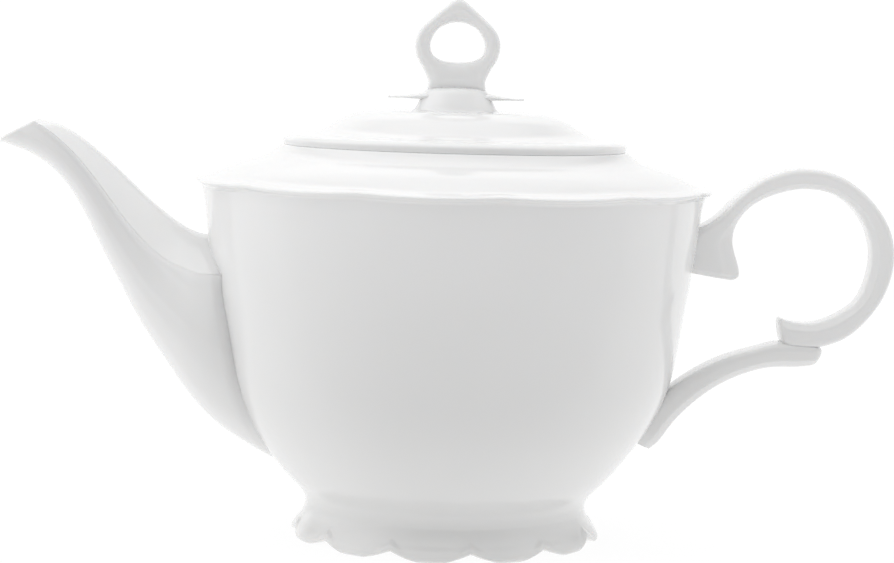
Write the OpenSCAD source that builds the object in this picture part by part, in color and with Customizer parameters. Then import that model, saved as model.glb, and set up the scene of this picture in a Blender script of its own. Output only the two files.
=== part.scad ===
// White porcelain teapot.
// A waisted bowl on a twelve-lobed foot, a domed shoulder with a wavy lip, a beaked spout, a ring
// handle with a scrolled leg, and a lift-off lid with a pointed ring knob.
// Millimetres. +Z is up, the spout points to -X and the handle to +X. The origin is the centre of
// the plane that the foot rests on.

/* [Bowl] */
// Outside radius of the bowl just below the lip
bowl_r = 70.6; // [66:0.5:76]
// Outside radius of the waist above the foot
waist_r = 40; // [36:0.2:44]
// Thickness of the bowl's wall
wall = 3.6; // [2.5:0.1:5]
// Height of the joint between the bowl and the shoulder
bowl_top = 98; // [94:0.5:102]
// Diameter of one strainer hole
strainer_d = 4.4; // [3:0.1:6]

/* [Shoulder and lip] */
// Radius of the round mouth that the lid drops into
mouth_r = 40; // [34:0.5:42]
// Height of the flat seat that the lid rests on
seat_z = 110.8; // [109:0.1:111.5]
// Outside radius of the wavy lip
lip_r = 73.2; // [71.5:0.1:75]
// Height of the lip's waves above and below its middle line
lip_wave = 0.25; // [0:0.05:1]

/* [Foot] */
// Number of lobes around the foot and around the lip
lobes = 12; // [6:1:18]
// Outside radius of a lobe where it stands
foot_r = 44.1; // [40:0.2:47]
// Height of the notches between the lobes
notch_h = 2.3; // [0:0.1:4]
// Depth of the creases between the lobes
crease = 1.2; // [0:0.1:3]
// Angle from the handle's side to the first crease
crease_turn = 8.5; // [0:0.5:30]

/* [Spout] */
// Thickness of the spout's wall
spout_wall = 2.6; // [1.8:0.1:3.2]

/* [Handle] */
// Half of the handle's width across the pot
handle_half = 5.6; // [4:0.1:8]

/* [Lid] */
// Outside radius of the lid
lid_r = 48.7; // [45:0.1:52]
// Gap between the lid's moving pieces and what they rest on
lid_gap = 0.3; // [0.2:0.05:0.6]
// Outside radius of the ring that hangs into the mouth
flange_r = 38.8; // [36:0.1:39.5]
// Depth of that ring
flange_h = 9; // [5:0.5:14]
// Diameter of the steam hole
vent_d = 3.2; // [2:0.1:5]

/* [Knob] */
// How far each thin wing under the knob reaches from the middle
plate_r = 19.2; // [15:0.2:23]
// Half of the knob's thickness, front to back
knob_half = 4.2; // [3:0.1:6]

/* [Hidden] */
$fn = 96;
GLAZE = [0.93, 0.93, 0.92];
lid_z = seat_z + lid_gap;
base_z = 8;

// ---- Curves ----

// One point of a Catmull-Rom curve between b and c.
function bend(a, b, c, d, t) =
    0.5 * (2 * b + (c - a) * t + (2 * a - 5 * b + 4 * c - d) * t * t
           + (3 * b - a - 3 * c + d) * t * t * t);

// A smooth curve through all the points, with n steps between neighbours.
function curve(p, n) = let (m = len(p) - 1)
    concat([for (i = [0:m - 1]) for (k = [0:n - 1])
                bend(p[max(i - 1, 0)], p[i], p[i + 1], p[min(i + 2, m)], k / n)],
           [p[m]]);

// The same for a closed curve, which doesn't repeat its first point.
function closed_curve(p, n) = let (m = len(p))
    [for (i = [0:m - 1]) for (k = [0:n - 1])
        bend(p[(i + m - 1) % m], p[i], p[(i + 1) % m], p[(i + 2) % m], k / n)];

// A list backwards.
function reversed(p) = [for (i = [len(p) - 1:-1:0]) p[i]];

// An outline moved by t towards its left-hand side.
function moved(p, t) = let (m = len(p) - 1)
    [for (i = [0:m]) let (d = p[min(i + 1, m)] - p[max(i - 1, 0)])
        p[i] + t * [-d[1], d[0]] / norm(d)];

// ---- Skins ----

// Points of a stack of rings become one closed solid with flat ends.
module skin(rings) {
    n = len(rings[0]);
    m = len(rings);
    points = [for (r = rings) for (p = r) p];
    sides = [for (i = [0:m - 2]) for (k = [0:n - 1]) let (j = (k + 1) % n)
        each [[i * n + k, i * n + j, (i + 1) * n + j], [i * n + k, (i + 1) * n + j, (i + 1) * n + k]]];
    ends = [[for (k = [n - 1:-1:0]) k], [for (k = [0:n - 1]) (m - 1) * n + k]];
    polyhedron(points, concat(sides, ends), convexity = 8);
}

// The same for rings that close into a loop, so that nothing needs an end.
module loop_skin(rings) {
    n = len(rings[0]);
    m = len(rings);
    points = [for (r = rings) for (p = r) p];
    faces = [for (i = [0:m - 1]) for (k = [0:n - 1]) let (j = (k + 1) % n, o = (i + 1) % m)
        each [[i * n + k, i * n + j, o * n + j], [i * n + k, o * n + j, o * n + k]]];
    polyhedron(points, faces, convexity = 8);
}

// A ring of n points between two edge points a and b, which are [x, z, half-width]. The ring's
// outline is soft-cornered, and a larger power makes it squarer.
function strap_ring(a, b, n, power) = let (mid = (a + b) / 2, half = (a - b) / 2)
    [for (k = [0:n - 1]) let (t = 360 * k / n + 180 / n,
                              u = sign(cos(t)) * pow(abs(cos(t)), 2 / power),
                              v = sign(sin(t)) * pow(abs(sin(t)), 2 / power))
        [mid[0] + half[0] * v, mid[2] * u, mid[1] + half[1] * v]];

// ---- Bowl ----

BOWL_SIDE = [[waist_r, base_z], [waist_r + 1, 11.8], [46.7, 18.3], [52.5, 25.5], [58.7, 34.9],
             [63.4, 46.5], [66.3, 64], [68.9, 82], [bowl_r, bowl_top]];
bowl_outer = curve(BOWL_SIDE, 5);
bowl_inner = [for (p = moved(bowl_outer, wall)) if (p[1] > base_z + wall + 0.5) p];

module bowl_envelope() {
    rotate_extrude() polygon(concat([[0, base_z]], bowl_outer, [[0, bowl_top]]));
}

// Strainer holes in staggered rows behind the spout: [height, count, angle between holes].
STRAINER = [[44, 3, 8], [52, 4, 8], [60, 5, 8], [68, 4, 8]];

module bowl() color(GLAZE) {
    difference() {
        rotate_extrude() polygon(concat([[0, base_z]], bowl_outer,
            [[bowl_inner[len(bowl_inner) - 1][0], bowl_top]], reversed(bowl_inner),
            [[0, base_z + wall]]));
        for (row = STRAINER, i = [0:row[1] - 1])
            rotate([0, 0, 180 + (i - (row[1] - 1) / 2) * row[2]])
                translate([50, 0, row[0]]) rotate([0, 90, 0])
                    cylinder(d = strainer_d, h = 25);
    }
}

// ---- Shoulder and lip ----

SHOULDER_TOP = [[bowl_r, 100.3], [65.3, 103.6], [61.5, 105.2], [57.5, 106.5], [54, 107.4],
                [51.8, 108.2], [50.4, 109.2], [49.6, 110.2], [48.9, seat_z]];
SHOULDER_UNDER = [[mouth_r, 104.5], [47, 103.8], [56, 102.2], [63, 100.2],
                  [bowl_r - wall, bowl_top]];

module shoulder() color(GLAZE)
    rotate_extrude() polygon(concat([[bowl_r, bowl_top]], curve(SHOULDER_TOP, 4),
        [[mouth_r, seat_z]], curve(SHOULDER_UNDER, 4)));

// A bead around the rim. It swells at each lobe, and its middle line rises and falls.
function lobe_wave(t) = abs(cos(t * lobes / 2));

module lip() color(GLAZE) {
    bead = [2.2, 1.1];
    steps = lobes * 10;
    loop_skin([for (i = [0:steps - 1]) let (t = 360 * i / steps, w = lobe_wave(t))
        [for (k = [0:9]) let (a = 36 * k, r = lip_r - 0.5 + 0.5 * w - bead[0] * (1 - cos(a)))
            [r * cos(t), r * sin(t), 100.2 - lip_wave * (2 * w - 1) + bead[1] * sin(a)]]]);
}

// ---- Foot ----

// The skirt's outside, as [height, radius at a lobe, share of the crease's depth].
SKIRT = [[0, foot_r - 0.6, 1], [0.4, foot_r, 1], [1.3, foot_r, 0.85], [2.8, foot_r - 0.9, 0.45],
         [4.4, foot_r - 2.2, 0.18], [5.9, foot_r - 3.1, 0.04], [7.2, waist_r + 0.45, 0],
         [9.4, waist_r + 0.3, 0]];
foot_inner = 35.5;

// Each ring climbs the outside of the skirt and comes down its inside wall. Between the lobes the
// lower edge is lifted into a notch.
module foot_ring() color(GLAZE) {
    steps = lobes * 12;
    difference() {
        loop_skin([for (i = [0:steps - 1])
            let (t = 360 * i / steps + crease_turn, w = abs(sin(180 * i / 12)),
                 lift = notch_h * max(0, 1 - 1.12 * w))
            concat([for (s = SKIRT) let (r = s[1] - crease * s[2] * (1 - w),
                                         z = max(s[0], lift + s[0] * 0.6))
                        [r * cos(t), r * sin(t), z]],
                   [for (z = [9.4, 5]) [foot_inner * cos(t), foot_inner * sin(t), z]],
                   [[(foot_inner + 1) * cos(t), (foot_inner + 1) * sin(t), lift]])]);
        bowl_envelope();
    }
}

// ---- Spout ----

// Stations from the mouth to the bowl: [top x, top z], [bottom x, bottom z], half-width, and where
// the ridge between roof and flank runs, from -1 at the bottom to 1 at the top.
SPOUT = [[[-116.9, 115.5], [-128.5, 109.3], 6.6, 0.85], [[-111.9, 114.5], [-120.5, 106.5], 7.6, 0.58],
         [[-105.5, 110.9], [-114.3, 102.8], 8.4, 0.38], [[-99.2, 106.0], [-109.0, 97.3], 9.0, 0.24],
         [[-93.2, 100.6], [-104.3, 90.0], 9.8, 0.18], [[-87.4, 95.1], [-99.4, 80.4], 11.2, 0.19],
         [[-82.2, 90.8], [-94.1, 70.6], 13.4, 0.26], [[-77.5, 87.4], [-88.1, 59.8], 16.4, 0.38],
         [[-73.6, 85.3], [-80.7, 48.9], 20.0, 0.52], [[-70.0, 84.4], [-71.9, 37.2], 23.4, 0.61],
         [[-65.6, 84.6], [-62.0, 28.4], 25.6, 0.66], [[-58.0, 85.0], [-45.0, 18.6], 26.0, 0.66]];
spout_path = curve([for (s = SPOUT) [s[0][0], s[0][1], s[1][0], s[1][1], s[2], s[3]]], 3);

// Half of a section. The roof slopes from the top to the ridge, and the flank is hollow under the
// ridge and round below: [share of half-width, share of the way to the ridge or to the bottom].
ROOF = [[0, 0], [0.28, 0.12], [0.52, 0.36], [0.76, 0.67]];
FLANK = [[0.985, 0], [0.92, 0.08], [0.915, 0.2], [0.98, 0.48], [0.93, 0.65], [0.77, 0.82],
         [0.5, 0.94], [0, 1]];

// A whole section as shares of half-width and half-height.
function spout_section(ridge) =
    let (half = concat([for (q = ROOF) [q[0], 1 - (1 - ridge) * q[1]]],
                       [for (q = FLANK) [q[0], ridge - (1 + ridge) * q[1]]]))
    concat(half, [for (i = [len(half) - 2:-1:1]) [-half[i][0], half[i][1]]]);

// A ring around one station, drawn in by t on every side.
function spout_ring(s, t) =
    let (top = [s[0], s[1]], low = [s[2], s[3]], h = norm(top - low) / 2,
         mid = (top + low) / 2, up = (top - low) / (2 * h))
    [for (q = spout_section(s[5])) let (b = q[1] * (h - t))
        [mid[0] + up[0] * b, q[0] * (s[4] - t), mid[1] + up[1] * b]];

module spout() color(GLAZE) {
    last = len(spout_path) - 1;
    difference() {
        loop_skin(concat([for (i = [0:last]) spout_ring(spout_path[i], 0)],
            [for (i = [last:-1:0]) spout_ring(spout_path[i], i < 3 ? 1.3 + 0.43 * i : spout_wall)]));
        bowl_envelope();
    }
}

// ---- Handle ----

// Stations as pairs of outer and inner edge points: [x, z, share of half-width].
LOOP = [[[67, 77.4, 0.54], [77.6, 75.5, 0.4]], [[64, 77.8, 0.9], [80.3, 75.2, 0.68]],
        [[63, 78.7, 1.07], [82.1, 76.5, 0.86]], [[63, 80.4, 1.16], [81.8, 79.2, 0.95]],
        [[63.5, 86, 1.18], [79.9, 86.0, 1]], [[74.4, 92.8, 1.1], [80.8, 91.4, 1]],
        [[80.8, 99.4, 1], [84.6, 96.3, 1]], [[88.6, 105.0, 1], [90.7, 99.7, 1]],
        [[98.4, 107.7, 1], [99.0, 101.7, 1]], [[109.3, 105.9, 1], [107.3, 100.7, 1]],
        [[118.5, 99.5, 1], [114.0, 96.4, 1]], [[124.6, 90.6, 1], [118.5, 89.1, 1]],
        [[126.0, 80.6, 1], [119.5, 80.4, 1]], [[122.7, 70.1, 1], [116.5, 70.8, 1]],
        [[115.2, 61.0, 1], [110.3, 65.9, 1]], [[107.4, 57.1, 1], [103.6, 63.5, 1]],
        [[99.9, 56.4, 1], [98.6, 63.7, 1]], [[97.0, 56.6, 0.95], [96.1, 64.1, 0.96]],
        [[95.2, 57.5, 0.8], [94.4, 64.7, 0.84]], [[94.5, 59.3, 0.54], [93.8, 64.0, 0.57]]];
LEG = [[[106.6, 55.9, 0.57], [106.0, 53.3, 0.6]], [[105.2, 57.0, 0.9], [104.2, 51.5, 0.93]],
       [[100.4, 57.6, 1], [99.2, 50.8, 1]], [[94.0, 57.7, 1], [93.4, 50.6, 1]],
       [[87.6, 56.0, 1], [88.8, 49.9, 1]], [[79.5, 53.5, 1], [82.0, 47.5, 1]],
       [[71.6, 49.7, 1], [75.6, 44.0, 1.04]], [[64.3, 44.6, 1.04], [69.9, 39.5, 1.07]],
       [[58.7, 39.3, 1.07], [65.0, 34.5, 1.1]], [[54.3, 33.2, 1.04], [60.8, 28.6, 1]],
       [[52.0, 28.8, 0.65], [58.2, 26.0, 0.6]]];

module strap(stations, n) {
    edges = curve([for (s = stations) concat(s[0], s[1])], n);
    skin([for (e = edges) strap_ring([e[0], e[1], e[2] * handle_half],
                                     [e[3], e[4], e[5] * handle_half], 16, 3)]);
}

module handle_loop() color(GLAZE)
    difference() {
        strap(LOOP, 3);
        bowl_envelope();
    }

module handle_leg() color(GLAZE)
    difference() {
        strap(LEG, 3);
        bowl_envelope();
    }

// ---- Lid ----

module lid_flange() color(GLAZE)
    translate([0, 0, seat_z - flange_h]) difference() {
        cylinder(r = flange_r, h = flange_h);
        translate([0, 0, -1]) cylinder(r = flange_r - 3, h = flange_h + 2);
    }

crown_z = 121;
LID_TOP = [[18, crown_z], [22, 121], [26.5, 120.4], [31, 118.9], [34.4, 117], [37.4, 115.2],
           [41, 114.15], [45.2, 113.75]];
LID_EDGE = [[45.2, 113.75], [47.6, 113.7], [48.4, 113.5], [lid_r, 113.1], [48.65, 112.4],
            [48.4, lid_z]];
LID_UNDER = [[35.8, lid_z], [34.9, 111.8], [33, 112.8], [29.5, 115], [24, 117], [12, 117.9], [0, 118]];

module lid() color(GLAZE)
    difference() {
        rotate_extrude() polygon(concat([[0, crown_z]], curve(LID_TOP, 4), curve(LID_EDGE, 3),
                                        curve(LID_UNDER, 4)));
        translate([0, 24, 112]) cylinder(d = vent_d, h = 12);
    }

// ---- Knob ----

// The pedestal is a cone, and a thin disc through it is cut down to two pointed wings.
CONE = [[12.4, crown_z], [11.5, 121.9], [11, 122.8], [10.4, 123.9], [9.8, 125], [8.8, 126.5],
        [8.1, 127.3], [5, 127.9], [0, 128.2]];
DISC = [[0, 124], [12, 124.1], [plate_r - 0.5, 124.45], [plate_r, 124.75], [plate_r - 0.5, 125.1],
        [12, 125.6], [0, 125.9]];
wing_depth = 9.5;
wing_bend = (plate_r * plate_r + wing_depth * wing_depth) / (2 * wing_depth);

module knob_plate() color(GLAZE) {
    rotate_extrude() polygon(concat([[0, crown_z]], curve(CONE, 3)));
    intersection() {
        rotate_extrude() polygon(DISC);
        translate([0, wing_bend - wing_depth, 120]) cylinder(r = wing_bend, h = 10);
        translate([0, wing_depth - wing_bend, 120]) cylinder(r = wing_bend, h = 10);
    }
}

// Right half of the knob's ring and the block it stands on, as pairs of outer and inner points:
// [x, z].
KNOB = [[[0, 152.8], [0, 146.1]], [[3.4, 150.8], [3.0, 145.6]], [[7.3, 147.3], [5.3, 144.3]],
        [[10.7, 143.9], [7.0, 142.0]], [[12.1, 140.1], [7.7, 139.5]], [[11.4, 136.1], [7.0, 137.0]],
        [[9.5, 132.8], [4.9, 135.55]], [[8.1, 129.6], [2.9, 135.1]], [[7.2, 126.8], [1.5, 134.9]]];

module knob_ring() color(GLAZE) {
    last = len(KNOB) - 1;
    right = [for (s = KNOB) concat(s[0], s[1])];
    left = [for (i = [last:-1:1]) [-right[i][0], right[i][1], -right[i][2], right[i][3]]];
    edges = closed_curve(concat(right, [[0, 126.9, 0, 134.9]], left), 4);
    loop_skin([for (e = edges)
        strap_ring([e[0], e[1], knob_half], [e[2], e[3], knob_half], 12, 2.6)]);
}

bowl();
shoulder();
lip();
foot_ring();
spout();
handle_loop();
handle_leg();
lid_flange();
lid();
knob_plate();
knob_ring();
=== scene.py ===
"""Looks of the white porcelain teapot: smooth glazed meshes over the CAD frame, studio and camera."""

import math

import bmesh
import bpy
import numpy as np
from mathutils import Matrix, Quaternion, Vector


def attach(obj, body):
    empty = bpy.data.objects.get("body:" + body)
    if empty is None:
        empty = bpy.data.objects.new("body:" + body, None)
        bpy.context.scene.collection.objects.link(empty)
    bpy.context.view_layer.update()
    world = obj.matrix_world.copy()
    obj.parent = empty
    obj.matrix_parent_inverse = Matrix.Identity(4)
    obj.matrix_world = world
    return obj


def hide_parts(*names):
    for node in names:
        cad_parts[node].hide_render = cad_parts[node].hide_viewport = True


MM = 0.001
TURN = 2 * math.pi

LOBES = 12
STEPS = LOBES * 24  # points round the pot, the same number in each lobe
CREASE_TURN = math.radians(8.5)  # from the handle's side to the first crease of the foot
CREASE_DEPTH = 1.2  # how far the creases between the lobes go in
LOBE_ROUNDING = 0.8  # below 1, the lobes are full and the creases between them narrow
NOTCH_HEIGHT = 2.3  # how far the foot's edge is lifted between two lobes
NOTCH_TAPER = 1.12  # how soon that lift runs out towards the middle of a lobe
NOTCH_FADE = 0.62  # how much of its own height a lifted point adds to that, so that it fades upwards
LIP_WAVE = 0.25  # how far the lip's edge rises and falls
LIP_SWELL = 0.5  # how far it is drawn in between two lobes

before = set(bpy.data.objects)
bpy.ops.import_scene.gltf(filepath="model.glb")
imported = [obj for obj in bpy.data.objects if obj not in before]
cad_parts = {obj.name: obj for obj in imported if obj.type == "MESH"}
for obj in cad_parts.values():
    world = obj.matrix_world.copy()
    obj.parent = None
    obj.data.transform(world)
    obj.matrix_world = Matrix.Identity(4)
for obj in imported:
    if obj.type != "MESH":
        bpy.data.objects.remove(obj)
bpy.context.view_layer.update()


# ---- Curves ----

def bend(points, n, closed=False):
    """A Catmull-Rom curve through points of any dimension, with n steps between neighbours."""
    p = np.array(points, float)
    m = len(p)
    out = []
    for i in range(m if closed else m - 1):
        if closed:
            a, b, c, d = p[(i - 1) % m], p[i], p[(i + 1) % m], p[(i + 2) % m]
        else:
            a, b, c, d = p[max(i - 1, 0)], p[i], p[i + 1], p[min(i + 2, m - 1)]
        for k in range(n):
            t = k / n
            out.append(0.5 * (2 * b + (c - a) * t + (2 * a - 5 * b + 4 * c - d) * t ** 2
                              + (3 * b - a - 3 * c + d) * t ** 3))
    if not closed:
        out.append(p[-1])
    return np.array(out)


def chain(*runs):
    """Curves joined end to end, with a corner kept where one run stops and the next starts."""
    parts = [bend(points, n) for points, n in runs]
    return np.concatenate([parts[0]] + [q[1:] for q in parts[1:]])


def mirrored(half):
    """A closed section from its right half, which starts and ends on the middle line."""
    return np.concatenate([half, half[-2:0:-1] * (-1, 1)])


# ---- Meshes ----

def make_object(name, verts, faces, material, body, nodes):
    """A closed smooth mesh in metres from millimetre points, riding on body and replacing nodes."""
    mesh = bpy.data.meshes.new(name)
    mesh.from_pydata([tuple(v) for v in np.asarray(verts) * MM], [], faces)
    bm = bmesh.new()
    bm.from_mesh(mesh)
    bmesh.ops.remove_doubles(bm, verts=bm.verts, dist=0.002 * MM)
    bmesh.ops.recalc_face_normals(bm, faces=bm.faces)
    bm.to_mesh(mesh)
    bm.free()
    mesh.shade_smooth()
    obj = bpy.data.objects.new(name, mesh)
    bpy.context.scene.collection.objects.link(obj)
    mesh.materials.append(material)
    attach(obj, body)
    if nodes:
        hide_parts(*nodes)
    return obj


def skin_faces(m, n, loop):
    """Quads over m rings of n points each. Open stacks get a flat face at each end."""
    faces = []
    for i in range(m if loop else m - 1):
        o = (i + 1) % m
        for k in range(n):
            j = (k + 1) % n
            faces.append((i * n + k, i * n + j, o * n + j, o * n + k))
    if not loop:
        faces.append(tuple(reversed(range(n))))
        faces.append(tuple((m - 1) * n + k for k in range(n)))
    return faces


def skin(name, rings, material, body, nodes=(), loop=False):
    """A closed skin over a list of rings."""
    rings = np.array(rings, float)
    m, n = rings.shape[:2]
    return make_object(name, rings.reshape(-1, 3), skin_faces(m, n, loop), material, body, nodes)


def turned(name, profile, material, body, nodes=(), loop=False, steps=192):
    """A body of revolution from [radius, height] points."""
    rings = []
    for r, z in profile:
        t = np.arange(steps) * TURN / steps
        rings.append(np.stack([r * np.cos(t), r * np.sin(t), np.full(steps, z)], axis=1))
    return skin(name, rings, material, body, nodes, loop)


# ---- Materials ----

def new_material(name):
    material = bpy.data.materials.new(name)
    material.use_nodes = True
    nodes = material.node_tree.nodes
    return material, nodes, material.node_tree.links, nodes["Principled BSDF"]


def object_noise(nodes, links, scale, detail):
    """Noise that is fixed to the object, with scale in cells a metre."""
    where = nodes.new("ShaderNodeTexCoord")
    noise = nodes.new("ShaderNodeTexNoise")
    noise.inputs["Scale"].default_value = scale
    noise.inputs["Detail"].default_value = detail
    links.new(where.outputs["Object"], noise.inputs["Vector"])
    return noise.outputs["Fac"]


def axes(nodes, links, output):
    """X, Y and Z of one of the texture coordinates."""
    where = nodes.new("ShaderNodeTexCoord")
    split = nodes.new("ShaderNodeSeparateXYZ")
    links.new(where.outputs[output], split.inputs["Vector"])
    return split.outputs


def ramped(nodes, links, source, given, wanted, curve="LINEAR"):
    """source, taken from the range given to the range wanted, and held at its ends."""
    remap = nodes.new("ShaderNodeMapRange")
    remap.interpolation_type = curve
    remap.inputs["From Min"].default_value, remap.inputs["From Max"].default_value = given
    remap.inputs["To Min"].default_value, remap.inputs["To Max"].default_value = wanted
    links.new(source, remap.inputs["Value"])
    return remap.outputs["Result"]


def above(nodes, links, source, share, top):
    """source with the given share, and for the rest the height, from 0 at the floor to 1 at top."""
    height = ramped(nodes, links, axes(nodes, links, "Object")["Z"], (0, top), (0, 1 - share))
    mix = nodes.new("ShaderNodeMath")
    mix.operation = "MULTIPLY_ADD"
    mix.inputs[1].default_value = share
    links.new(source, mix.inputs[0])
    links.new(height, mix.inputs[2])
    return mix.outputs["Value"]


def tinted(nodes, links, source, dark, light):
    """A colour between dark and light, by source."""
    ramp = nodes.new("ShaderNodeValToRGB")
    ramp.color_ramp.elements[0].position = 0.15
    ramp.color_ramp.elements[0].color = (*dark, 1)
    ramp.color_ramp.elements[1].position = 0.85
    ramp.color_ramp.elements[1].color = (*light, 1)
    links.new(source, ramp.inputs["Fac"])
    return ramp.outputs["Color"]


def bumped(nodes, links, height, distance, strength, below=None):
    """A bump of distance metres, on top of another bump if there is one."""
    bump = nodes.new("ShaderNodeBump")
    bump.inputs["Distance"].default_value = distance
    bump.inputs["Strength"].default_value = strength
    links.new(height, bump.inputs["Height"])
    if below is not None:
        links.new(below, bump.inputs["Normal"])
    return bump.outputs["Normal"]


NOISE_RANGE = (0.3, 0.7)  # where most of a noise texture's values lie


def glaze_material():
    """Clear gloss glaze over white porcelain, with a slow swell and fine orange peel.

    It is painted a little greyer towards the foot: painted shade where the lower pot gets less light.
    """
    material, nodes, links, bsdf = new_material("porcelain_glaze")
    clouds = object_noise(nodes, links, 18, 2)
    # Painted shade mixed with random tone: the colour darkens towards the foot.
    tone_and_shade = above(nodes, links, clouds, 0.3, 0.1)
    links.new(tinted(nodes, links, tone_and_shade, (0.75, 0.75, 0.745), (0.89, 0.89, 0.89)),
              bsdf.inputs["Base Color"])
    sheen = object_noise(nodes, links, 60, 3)
    links.new(ramped(nodes, links, sheen, NOISE_RANGE, (0.07, 0.12)), bsdf.inputs["Roughness"])
    swell = bumped(nodes, links, object_noise(nodes, links, 26, 1), 0.00025, 0.35)
    peel = bumped(nodes, links, object_noise(nodes, links, 420, 2), 0.00001, 0.5, swell)
    links.new(peel, bsdf.inputs["Normal"])
    bsdf.inputs["IOR"].default_value = 1.52
    bsdf.inputs["Coat Weight"].default_value = 0.25
    bsdf.inputs["Coat Roughness"].default_value = 0.04
    bsdf.inputs["Subsurface Weight"].default_value = 0.12
    bsdf.inputs["Subsurface Radius"].default_value = (1.0, 0.85, 0.7)
    bsdf.inputs["Subsurface Scale"].default_value = 0.0015
    return material


def bare_material():
    """Unglazed porcelain where the foot stands: matt, a little warmer, finely grained."""
    material, nodes, links, bsdf = new_material("porcelain_bare")
    grain = object_noise(nodes, links, 900, 6)
    links.new(tinted(nodes, links, grain, (0.70, 0.67, 0.61), (0.80, 0.78, 0.73)),
              bsdf.inputs["Base Color"])
    links.new(ramped(nodes, links, grain, NOISE_RANGE, (0.6, 0.8)), bsdf.inputs["Roughness"])
    links.new(bumped(nodes, links, grain, 0.0001, 0.5), bsdf.inputs["Normal"])
    return material


GLAZE = glaze_material()
BARE = bare_material()


# ---- The pot's body ----

# Outlines in millimetres: radius, height, and how far the foot's creases and the lip's waves reach.
FOOT_UNDER = [(0.6, 8.0, 0, 0), (16, 8.0, 0, 0), (28, 8.0, 0, 0), (33.6, 7.7, 0, 0),
              (35.2, 6.4, 0, 0), (35.6, 3.0, 0, 0), (35.9, 1.0, 0, 0), (36.6, 0.0, 0, 0)]
FOOT_LAND = [(36.6, 0.0, 0, 0), (39.8, 0.0, 0.6, 0), (43.5, 0.0, 1, 0)]
FOOT_SIDE = [(43.5, 0.0, 1, 0), (44.15, 0.4, 1, 0), (44.1, 1.3, 0.85, 0), (43.2, 2.8, 0.45, 0),
             (41.9, 4.4, 0.18, 0), (40.95, 5.9, 0.04, 0)]
BOWL_SIDE = [(40.45, 7.2, 0, 0), (40.1, 8.8, 0, 0), (40.5, 11.0, 0, 0), (42.2, 13.7, 0, 0),
             (46.7, 18.3, 0, 0), (52.5, 25.5, 0, 0), (58.7, 34.9, 0, 0), (63.4, 46.5, 0, 0),
             (66.3, 64, 0, 0), (68.7, 80, 0, 0), (69.95, 91, 0, 0), (70.6, 95.6, 0, 0.1),
             (71.4, 98.7, 0, 0.5)]
LIP_EDGE = [(71.4, 98.7, 0, 0.5), (72.1, 99.4, 0, 0.9), (72.9, 99.9, 0, 1), (73.2, 100.4, 0, 1),
            (72.9, 100.85, 0, 1), (71.8, 101.2, 0, 0.9), (70.0, 101.6, 0, 0.55)]
SHOULDER = [(70.0, 101.6, 0, 0.55), (68.3, 102.15, 0, 0.2), (65.3, 103.6, 0, 0),
            (61.5, 105.2, 0, 0), (57.5, 106.5, 0, 0), (54, 107.6, 0, 0), (51.8, 108.6, 0, 0),
            (50.4, 109.6, 0, 0), (49.6, 110.35, 0, 0), (49.3, 110.65, 0, 0), (48.9, 110.8, 0, 0)]
SEAT = [(48.9, 110.8, 0, 0), (42.5, 110.8, 0, 0), (40.8, 110.7, 0, 0), (40.1, 110.1, 0, 0),
        (40.0, 107.4, 0, 0), (40.2, 105.0, 0, 0), (41.4, 104.5, 0, 0)]
SHOULDER_UNDER = [(41.4, 104.5, 0, 0), (47, 103.8, 0, 0), (56, 102.2, 0, 0), (63, 100.2, 0, 0),
                  (66.3, 97.6, 0, 0), (67.2, 94.0, 0, 0)]
BOWL_INSIDE = [(67.2, 94.0, 0, 0), (66.7, 88, 0, 0), (65.4, 80, 0, 0), (62.8, 64, 0, 0),
               (60.1, 47.5, 0, 0), (55.9, 36.6, 0, 0), (50.4, 27.6, 0, 0), (45.4, 21.0, 0, 0),
               (40.4, 16.2, 0, 0), (35, 13.0, 0, 0), (28, 11.8, 0, 0), (14, 11.6, 0, 0),
               (0.6, 11.6, 0, 0)]

OUTER_WALL = chain((BOWL_SIDE, 8), (LIP_EDGE, 4))


def wall_radius(z):
    """Outside radius of the bowl at a height, for what is luted onto it."""
    return np.interp(z, OUTER_WALL[:, 1], OUTER_WALL[:, 0])


def pot_ring(r, z, foot, lip):
    """One ring round the pot, with the foot's lobes and notches and the lip's waves."""
    t = np.arange(STEPS) * TURN / STEPS
    lobe = np.abs(np.sin(t * LOBES / 2))
    lift = NOTCH_HEIGHT * np.clip(1 - NOTCH_TAPER * lobe, 0, 1)
    radius = r - CREASE_DEPTH * foot * (1 - lobe ** LOBE_ROUNDING)
    height = np.maximum(z, lift + NOTCH_FADE * z)
    radius = radius - LIP_SWELL * lip * (1 - lobe)
    height = height - LIP_WAVE * lip * (2 * lobe - 1)
    t = t + CREASE_TURN
    return np.stack([radius * np.cos(t), radius * np.sin(t), height], axis=1)


# Strainer holes behind the spout, row by row: height, and places along the row in steps of the
# pitch, from the middle. The CAD bowl has one more hole in the middle of the rows at 44 and 60.
STRAINER = [(44, (-1, 1)), (52, (-1.5, -0.5, 0.5, 1.5)), (60, (-2, -1, 1, 2)),
            (68, (-1.5, -0.5, 0.5, 1.5))]
STRAINER_PITCH = math.radians(8)
STRAINER_RADIUS = 2.2
STRAINER_REACH = 64  # from the axis to the middle of a peg, which is about where the wall is
PEG_LENGTH = 16  # longer than any wall is thick


def moved(place):
    """The matrix that moves by millimetres."""
    return Matrix.Translation(Vector(place) * MM)


def add_peg(bm, radius, matrix):
    """A round peg of PEG_LENGTH around the matrix's origin, along its Z."""
    bmesh.ops.create_cone(bm, cap_ends=True, segments=40, radius1=radius * MM, radius2=radius * MM,
                          depth=PEG_LENGTH * MM, matrix=matrix)


def peg_object(name, bm):
    mesh = bpy.data.meshes.new(name)
    bm.to_mesh(mesh)
    bm.free()
    return bpy.data.objects.new(name, mesh)


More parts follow.
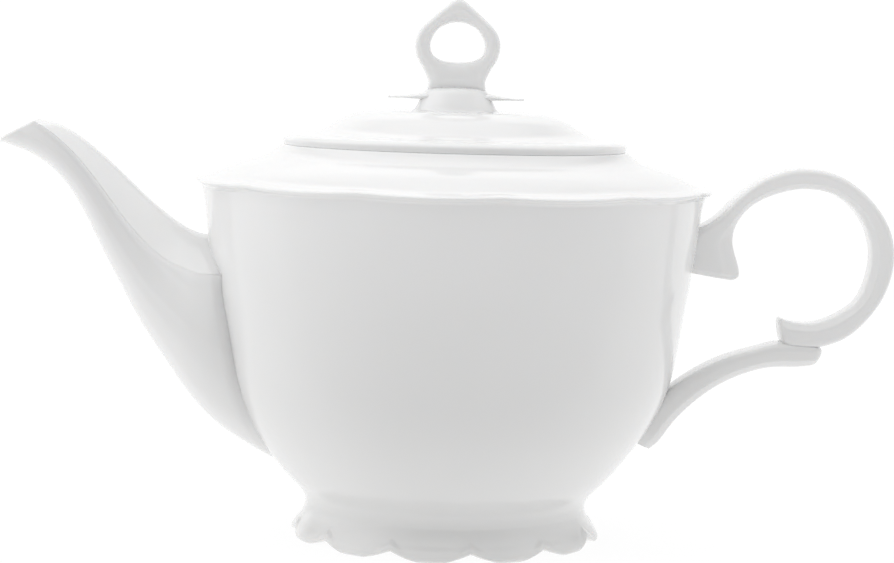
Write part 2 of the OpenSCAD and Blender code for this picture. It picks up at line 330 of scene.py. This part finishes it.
def strainer_cutters():
    """One mesh of round pegs where the strainer holes go, pointing away from the axis."""
    bm = bmesh.new()
    lying = Matrix.Rotation(math.pi / 2, 4, "Y")
    for height, places in STRAINER:
        for place in places:
            turn = Matrix.Rotation(math.pi + STRAINER_PITCH * place, 4, "Z")
            add_peg(bm, STRAINER_RADIUS, turn @ moved((STRAINER_REACH, 0, height)) @ lying)
    return peg_object("strainer_pegs", bm)


def cut_holes(obj, pegs):
    """Takes pegs out of obj's mesh and deletes them."""
    scene = bpy.context.scene
    scene.collection.objects.link(pegs)
    cut = obj.modifiers.new("holes", "BOOLEAN")
    cut.operation = "DIFFERENCE"
    cut.solver = "EXACT"
    cut.object = pegs
    graph = bpy.context.evaluated_depsgraph_get()
    holed = bpy.data.meshes.new_from_object(obj.evaluated_get(graph))
    obj.modifiers.clear()
    old = obj.data
    obj.data = holed
    holed.name = obj.name
    bpy.data.objects.remove(pegs)
    bpy.data.meshes.remove(old)


LAND = (36.4, 43.0)  # radii of the bare ring that the foot stands on
LAND_TOP = 0.02  # a bare face lies lower than this
LAND_LEVEL = 0.99  # and the upright part of its normal is longer than this


def build_pot_body():
    profile = chain((FOOT_UNDER, 4), (FOOT_LAND, 4), (FOOT_SIDE + BOWL_SIDE, 8), (LIP_EDGE, 5),
                    (SHOULDER, 6), (SEAT, 4), (SHOULDER_UNDER, 4), (BOWL_INSIDE, 5))
    body = skin("pot_body", [pot_ring(*p) for p in profile], GLAZE, "pot",
                ("bowl", "shoulder", "lip", "foot_ring"))
    cut_holes(body, strainer_cutters())
    body.data.materials.append(BARE)
    for face in body.data.polygons:
        c = face.center / MM
        on_land = LAND[0] < math.hypot(c.x, c.y) < LAND[1]
        if on_land and c.z < LAND_TOP and abs(face.normal.z) > LAND_LEVEL:
            face.material_index = 1


# ---- Spout ----

# Stations from the mouth to the bowl: top x, top z, bottom x, bottom z, half-width, and where the
# ridge between roof and flank runs, from -1 at the bottom to 1 at the top.
SPOUT = [(-116.9, 115.5, -128.5, 109.3, 6.6, 0.85), (-111.9, 114.5, -120.5, 106.5, 7.6, 0.58),
         (-105.5, 110.9, -114.3, 102.8, 8.4, 0.38), (-99.2, 106.0, -109.0, 97.3, 9.0, 0.24),
         (-93.2, 100.6, -104.3, 90.0, 9.8, 0.18), (-87.4, 95.1, -99.4, 80.4, 11.2, 0.19),
         (-82.2, 90.8, -94.1, 70.6, 13.4, 0.26), (-77.5, 87.4, -88.1, 59.8, 16.4, 0.38),
         (-73.6, 85.3, -80.7, 48.9, 20.0, 0.52), (-70.0, 84.4, -71.9, 37.2, 23.4, 0.61),
         (-65.6, 84.6, -62.0, 28.4, 25.6, 0.66), (-58.0, 85.0, -45.0, 18.6, 26.0, 0.66)]
# Half a section: share of the half-width, and share of the way from the top down to the ridge.
ROOF = [(0, 0), (0.1, 0.02), (0.28, 0.12), (0.52, 0.36), (0.76, 0.67), (0.985, 1)]
# The rest of it: share of the half-width, and share of the way from the ridge down to the bottom.
FLANK = [(0.985, 0), (0.93, 0.06), (0.91, 0.16), (0.955, 0.34), (0.98, 0.48), (0.93, 0.65),
         (0.77, 0.82), (0.5, 0.94), (0.24, 0.99), (0, 1)]
SPOUT_STEPS = 12  # rings from one station to the next
SPOUT_WALL = 2.6
MOUTH_WALL = 1.3
WALL_GROWTH = 0.037  # how much thicker the wall gets from each ring to the next, up to SPOUT_WALL
# The rounded edge of the mouth: how far each ring is drawn in, and how far it is pushed forward.
MOUTH_RIM = [(0.12, 0.28), (0.38, 0.48), (0.65, 0.55), (0.92, 0.48), (1.18, 0.28)]
SINK = 1.8  # how deep a luted end goes into the bowl's wall
GROOVE_WIDTH = 2.6
GROOVE_SHARE = 0.08  # how much of the spout's width the groove round its root takes away


def spout_section(ridge):
    """A section as shares of half-width and half-height, with its ridge at the height given."""
    roof, flank = bend(ROOF, 5), bend(FLANK, 5)
    roof[:, 1] = 1 - (1 - ridge) * roof[:, 1]
    flank[:, 1] = ridge - (1 + ridge) * flank[:, 1]
    return mirrored(np.concatenate([roof, flank[1:]]))


def spout_ring(station, inset, forward=0.0):
    """A ring round one station, drawn in by inset and pushed along the spout by forward."""
    top, low, width = station[0:2], station[2:4], station[4]
    section = spout_section(station[5])
    middle = (top + low) / 2
    half = np.linalg.norm(top - low) / 2
    up = (top - low) / (2 * half)
    out = np.array([-up[1], up[0]])
    b = section[:, 1] * (half - inset)
    x = middle[0] + up[0] * b + out[0] * forward
    z = middle[1] + up[1] * b + out[1] * forward
    return np.stack([x, section[:, 0] * (width - inset), z], axis=1)


def grooved(ring):
    """The ring made narrower close to the bowl's wall, which leaves a groove round the joint."""
    gap = np.hypot(ring[:, 0], ring[:, 1]) - wall_radius(ring[:, 2])
    near = np.clip(1 - gap / GROOVE_WIDTH, 0, 1)
    ring = ring.copy()
    ring[:, 1] *= 1 - GROOVE_SHARE * near
    return ring


def sunk(ring, side):
    """The ring with no point deeper than SINK inside the wall of the bowl, on the side -1 or 1."""
    ring = ring.copy()
    deep = wall_radius(ring[:, 2]) - SINK
    floor = np.sqrt(np.maximum(deep ** 2 - ring[:, 1] ** 2, 0))
    ring[:, 0] = side * np.maximum(side * ring[:, 0], floor)
    return ring


def build_spout():
    """The outside from the bowl to the mouth, round the rim, and the inside back to the bowl."""
    path = bend(SPOUT, SPOUT_STEPS)
    rings = [grooved(spout_ring(s, 0)) for s in path[::-1]]
    rings += [spout_ring(path[0], inset, forward) for inset, forward in MOUTH_RIM]
    for i, s in enumerate(path):
        rings.append(spout_ring(s, min(SPOUT_WALL, MOUTH_WALL + WALL_GROWTH * i)))
    skin("spout_tube", [sunk(r, -1) for r in rings], GLAZE, "pot", ("spout",), loop=True)


# ---- Handle ----

# Stations as outer x, z, half-width and inner x, z, half-width.
LOOP = [(67, 77.4, 3.0, 77.6, 75.5, 2.2), (64, 77.8, 5.0, 80.3, 75.2, 3.8),
        (63, 78.7, 6.0, 82.1, 76.5, 4.8), (63, 80.4, 6.5, 81.8, 79.2, 5.3),
        (63.5, 86, 6.6, 79.9, 86.0, 5.6), (74.4, 92.8, 6.2, 80.8, 91.4, 5.6),
        (80.8, 99.4, 5.6, 84.6, 96.3, 5.6), (88.6, 105.0, 5.6, 90.7, 99.7, 5.6),
        (98.4, 107.7, 5.6, 99.0, 101.7, 5.6), (109.3, 105.9, 5.6, 107.3, 100.7, 5.6),
        (118.5, 99.5, 5.6, 114.0, 96.4, 5.6), (124.6, 90.6, 5.6, 118.5, 89.1, 5.6),
        (126.0, 80.6, 5.6, 119.5, 80.4, 5.6), (122.7, 70.1, 5.6, 116.5, 70.8, 5.6),
        (115.2, 61.0, 5.6, 110.3, 65.9, 5.6), (107.4, 57.1, 5.6, 103.6, 63.5, 5.6),
        (99.9, 56.4, 5.6, 98.6, 63.7, 5.6), (97.0, 56.6, 5.3, 96.1, 64.1, 5.4),
        (95.2, 57.5, 4.5, 94.4, 64.7, 4.7), (94.5, 59.3, 3.0, 93.8, 64.0, 3.2)]
LEG = [(106.6, 55.9, 3.2, 106.0, 53.3, 3.4), (105.2, 57.0, 5.0, 104.2, 51.5, 5.2),
       (100.4, 57.6, 5.6, 99.2, 50.8, 5.6), (94.0, 57.7, 5.6, 93.4, 50.6, 5.6),
       (87.6, 56.0, 5.6, 88.8, 49.9, 5.6), (79.5, 53.5, 5.6, 82.0, 47.5, 5.6),
       (71.6, 49.7, 5.6, 75.6, 44.0, 5.8), (64.3, 44.6, 5.8, 69.9, 39.5, 6.0),
       (58.7, 39.3, 6.0, 65.0, 34.5, 6.2), (54.3, 33.2, 5.8, 60.8, 28.6, 5.6),
       (52.0, 28.8, 3.6, 58.2, 26.0, 3.4)]
# Half a strap's section as shares of half-width and half-thickness, from outside to inside.
STRAP = [(0, 1), (0.45, 0.99), (0.78, 0.93), (0.94, 0.74), (1.0, 0.42), (1.0, -0.05),
         (0.985, -0.38), (0.90, -0.55), (0.70, -0.86), (0.50, -0.98), (0, -1)]


def strap_ring(station, section):
    """A ring between the station's outer and inner edge, in the shape of the section."""
    outer, inner = station[0:3], station[3:6]
    share = (1 + section[:, 1]) / 2
    edge = inner + share[:, None] * (outer - inner)
    return np.stack([edge[:, 0], section[:, 0] * edge[:, 2], edge[:, 1]], axis=1)


def build_strap(name, stations, node):
    section = mirrored(bend(STRAP, 3))
    rings = [sunk(strap_ring(s, section), 1) for s in bend(stations, 8)]
    skin(name, rings, GLAZE, "pot", (node,))


# ---- Lid ----

LID_OUTSIDE = [(0.5, 121.0), (9, 121.0), (17, 121.1), (22, 121.1), (26.5, 120.5), (31, 119.0),
               (34.4, 117.0), (37.4, 115.2), (41.0, 114.15), (45.2, 113.75)]
LID_RIM = [(45.2, 113.75), (47.0, 113.55), (48.1, 113.1), (48.65, 112.5), (48.65, 111.9),
           (48.5, 111.4), (48.4, 110.83)]
LID_INSIDE = [(48.4, 110.83), (40.8, 110.85), (35.8, 110.95), (35.0, 111.4), (33, 112.8),
              (29.5, 115), (24, 117), (12, 117.9), (0.5, 118)]
FLANGE = [(38.2, 110.88), (38.8, 110.3), (38.8, 106), (38.75, 103.3), (38.4, 102.1),
          (37.6, 101.8), (36.5, 101.9), (35.9, 102.5), (35.8, 105.3), (35.8, 110.3),
          (36.4, 110.88)]


VENT_RADIUS = 1.6
VENT_PLACE = (0, 24, 118)  # at the back of the lid, inside its wall


def vent_cutter():
    """A peg where the steam hole goes."""
    bm = bmesh.new()
    add_peg(bm, VENT_RADIUS, moved(VENT_PLACE))
    return peg_object("vent_peg", bm)


def build_lid():
    """The dome, and the ring under it that hangs into the mouth."""
    lid = turned("lid_dome", chain((LID_OUTSIDE, 6), (LID_RIM, 4), (LID_INSIDE, 4)), GLAZE,
                 "lid_top", ("lid",), steps=240)
    cut_holes(lid, vent_cutter())
    turned("lid_flange_ring", bend(FLANGE, 4, closed=True), GLAZE, "lid_ring", ("lid_flange",),
           loop=True)


# ---- Knob ----

PEDESTAL_FOOT = 121.0  # the level part of the lid, which the pedestal stands on
PEDESTAL = [(12.8, 121.0), (12.0, 121.25), (11.4, 121.9), (10.9, 122.9), (10.4, 123.9),
            (9.8, 125.1), (9.2, 126.2), (8.5, 127.0), (7.2, 127.5), (4, 127.9), (0.5, 128.0)]
WING_REACH = 19.2
WING_Z = 124.75
WING_STEPS = 96
WING_POINTS = 48
WING_DEPTH = 9.0  # half the wings' depth at the axis, beyond the tips' own
WING_CURVE = 0.85  # below 1, the outline bulges between the tips and the axis
WING_ROOT = 0.5  # share of the way in from a tip, past which the wings get no thicker
WING_SWELL = 3.0  # how fast they thicken towards the root
WING_RISE = 1.8  # and how fast their middle rises
TIP_DEPTH = 0.15
TIP_THICK = 0.28
# Right half of the knob's ring and block: outer x, z and inner x, z.
KNOB = [(0, 152.8, 0, 146.1), (1.3, 152.4, 1.2, 146.05), (3.4, 150.8, 3.0, 145.6),
        (7.3, 147.3, 5.3, 144.3), (10.7, 143.9, 7.0, 142.0), (12.1, 140.1, 7.7, 139.5),
        (11.4, 136.1, 7.0, 137.0), (9.5, 132.8, 4.9, 135.55), (8.1, 129.6, 2.9, 135.1),
        (8.0, 126.8, 1.5, 134.95), (4.0, 126.7, 0.7, 134.9), (0, 126.7, 0, 134.9)]
KNOB_HALF = 4.2  # half its thickness from front to back
KNOB_SECTION = [(0, 1), (0.5, 0.985), (0.82, 0.86), (0.97, 0.5), (1, 0), (0.94, -0.5),
                (0.76, -0.86), (0.42, -0.985), (0, -1)]


def wing_ring(x):
    """A flat oval across the wings at x. It narrows and thins out towards the tips."""
    share = 1 - abs(x) / WING_REACH
    root = min(share, WING_ROOT) ** 2
    t = np.arange(WING_POINTS) * TURN / WING_POINTS
    depth = TIP_DEPTH + WING_DEPTH * share ** WING_CURVE
    thick = TIP_THICK + WING_SWELL * root
    y = depth * np.cos(t)
    z = WING_Z + WING_RISE * root + thick * np.sin(t)
    return np.stack([np.full_like(t, x), y, z], axis=1)


def build_knob():
    """The cone on the lid, the wings through it, and the ring that the lid is lifted by."""
    turned("knob_pedestal", [(0.5, PEDESTAL_FOOT), *bend(PEDESTAL, 4)], GLAZE, "lid_top",
           ("knob_plate",))
    across = np.linspace(-WING_REACH, WING_REACH, WING_STEPS + 1)
    skin("knob_wings", [wing_ring(x) for x in across], GLAZE, "lid_top")
    left = [(-a, b, -c, d) for a, b, c, d in KNOB[-2:0:-1]]
    section = mirrored(bend(KNOB_SECTION, 3))
    rings = [strap_ring(np.array([a, b, KNOB_HALF, c, d, KNOB_HALF]), section)
             for a, b, c, d in bend(KNOB + left, 5, closed=True)]
    skin("knob_loop", rings, GLAZE, "lid_top", ("knob_ring",), loop=True)


build_pot_body()
build_spout()
build_strap("handle_ring", LOOP, "handle_loop")
build_strap("handle_scroll_leg", LEG, "handle_leg")
build_lid()
build_knob()


# ---- Studio ----

FLOOR_SIZE = 6.0  # from the axis to each side, in metres
FLOOR_RAMP = (-0.11, -0.05)  # between these y, in metres, the floor's glow goes from grey to white
FLOOR_GLOW = (0.66, 0.9)  # its strength before the ramp, towards the camera, and behind it
# What lights the pot from far away: axis of the direction, where the ramp starts and stops, and the
# strength at each end.
SURROUNDINGS = [("Y", (0.6, 0.9), (0, 1.03)),  # the white background
                ("Z", (0.35, 0.95), (0, 1.25)),  # ceiling
                ("X", (-0.95, -0.3), (1.25, 0)),  # left wall
                ("X", (0.45, 0.9), (0, 0.9))]  # right wall


def build_floor():
    """A plain floor. It glows white under and behind the pot, and grey towards the camera."""
    mesh = bpy.data.meshes.new("floor")
    corners = [(-1, -1), (1, -1), (1, 1), (-1, 1)]
    mesh.from_pydata([(x * FLOOR_SIZE, y * FLOOR_SIZE, 0) for x, y in corners], [], [(0, 1, 2, 3)])
    floor = bpy.data.objects.new("floor", mesh)
    bpy.context.scene.collection.objects.link(floor)
    material, nodes, links, bsdf = new_material("floor_glowing")
    bsdf.inputs["Base Color"].default_value = (0.12, 0.12, 0.12, 1)
    bsdf.inputs["Roughness"].default_value = 0.9
    bsdf.inputs["Specular IOR Level"].default_value = 0
    bsdf.inputs["Emission Color"].default_value = (1, 1, 1, 1)
    # The glow is painted light. It is white under and behind the pot, where it hides the pot's
    # shadow, and it lights the pot from below.
    glow = ramped(nodes, links, axes(nodes, links, "Object")["Y"], FLOOR_RAMP, FLOOR_GLOW,
                  "SMOOTHSTEP")
    links.new(glow, bsdf.inputs["Emission Strength"])
    mesh.materials.append(material)


def build_world():
    """White light, as strong as the surroundings in its direction add up to."""
    world = bpy.data.worlds.new("studio")
    bpy.context.scene.world = world
    world.use_nodes = True
    nodes, links = world.node_tree.nodes, world.node_tree.links
    direction = axes(nodes, links, "Generated")
    total = None
    for axis, given, wanted in SURROUNDINGS:
        part = ramped(nodes, links, direction[axis], given, wanted, "SMOOTHSTEP")
        if total is None:
            total = part
            continue
        add = nodes.new("ShaderNodeMath")
        add.operation = "ADD"
        links.new(total, add.inputs[0])
        links.new(part, add.inputs[1])
        total = add.outputs["Value"]
    links.new(total, nodes["Background"].inputs["Strength"])
    nodes["Background"].inputs["Color"].default_value = (1, 1, 1, 1)


def add_light(name, place, target, size, power):
    """A soft rectangular light of size (width, height), aimed at target."""
    data = bpy.data.lights.new(name, "AREA")
    data.shape = "RECTANGLE"
    data.size, data.size_y = size
    data.energy = power
    light = bpy.data.objects.new(name, data)
    light.location = place
    light.rotation_euler = (Vector(target) - Vector(place)).to_track_quat("-Z", "Y").to_euler()
    bpy.context.scene.collection.objects.link(light)


CAMERA_DISTANCE = 0.672  # metres from the pot's axis, measured level
CAMERA_HEIGHT = 0.135
CAMERA_AIM = (0.0, 0.0, 0.0727)
CAMERA_ROLL = math.radians(1.6)
CAMERA_YAW = math.radians(-1.5)
CAMERA_LENS = 95.2  # millimetres
CAMERA_SENSOR = 36
CAMERA_SHIFT = (-0.0045, -0.0005)


def build_camera():
    data = bpy.data.cameras.new("camera")
    data.lens = CAMERA_LENS
    data.sensor_width = CAMERA_SENSOR
    data.shift_x, data.shift_y = CAMERA_SHIFT
    camera = bpy.data.objects.new("camera", data)
    place = Vector((math.sin(CAMERA_YAW) * CAMERA_DISTANCE,
                    -math.cos(CAMERA_YAW) * CAMERA_DISTANCE, CAMERA_HEIGHT))
    look = (Vector(CAMERA_AIM) - place).to_track_quat("-Z", "Y")
    camera.location = place
    camera.rotation_mode = "QUATERNION"
    camera.rotation_quaternion = look @ Quaternion((0, 0, 1), CAMERA_ROLL)
    bpy.context.scene.collection.objects.link(camera)
    bpy.context.scene.camera = camera


build_floor()
build_world()
add_light("front_soft", place=(0, -1.1, 0.4), target=(0, 0, 0.08), size=(1.8, 0.8), power=1.45)
build_camera()
bpy.context.scene.view_settings.view_transform = "Standard"
